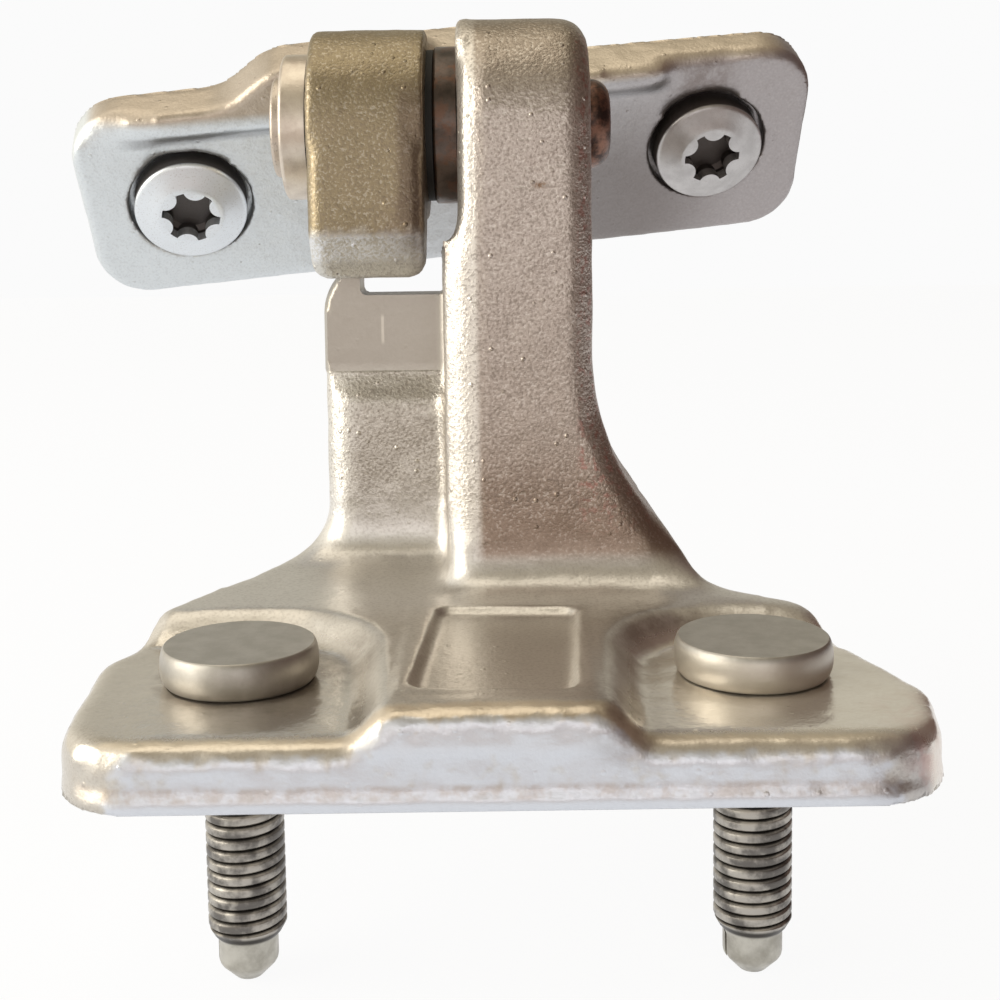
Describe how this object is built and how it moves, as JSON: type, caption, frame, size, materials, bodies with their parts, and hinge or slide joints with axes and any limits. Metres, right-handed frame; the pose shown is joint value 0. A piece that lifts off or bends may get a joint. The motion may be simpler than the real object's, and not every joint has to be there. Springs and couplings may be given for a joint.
{
  "type": "car door hinge",
  "caption": "Forged steel car door hinge: pillar bracket with pressed-in studs and an upright arm, pivot pin with bushes, and a screwed door leaf with a stop toe.",
  "frame": {"origin": "on the bracket's mounting face, midway between the axes of its two studs", "axes": "+Z away from the pillar along the studs, +X along the hinge pin, +Y from the studs towards the pin and the door leaf"},
  "size_m": [0.1028, 0.1104, 0.1028],
  "materials": {
    "bracket_steel": "shot-blasted forging, clear coated",
    "leaf_steel": "shot-blasted forging, clear coated",
    "stud_steel": "satin, greasy thread",
    "screw_steel": "satin plated",
    "pin_steel": "turned, with light rust",
    "ring_steel": "dark, greasy",
    "bush_polymer": "matt black"
  },
  "bodies": {
    "pillar_side": {"pillar_bracket": "bracket_steel", "stud_left": "stud_steel", "stud_right": "stud_steel", "hinge_pin": "pin_steel", "retaining_washer": "pin_steel", "thrust_ring": "ring_steel"},
    "door_side": {"door_leaf": "leaf_steel", "bush_left": "bush_polymer", "bush_right": "bush_polymer", "door_screw_left": "screw_steel", "door_screw_right": "screw_steel"}
  },
  "joints": [
    {"name": "door_swing", "type": "hinge", "parent": "pillar_side", "child": "door_side", "pos_m": [0, 0.0345, 0.0631], "axis": [1, 0, 0], "range_deg": [-34, 30]}
  ]
}
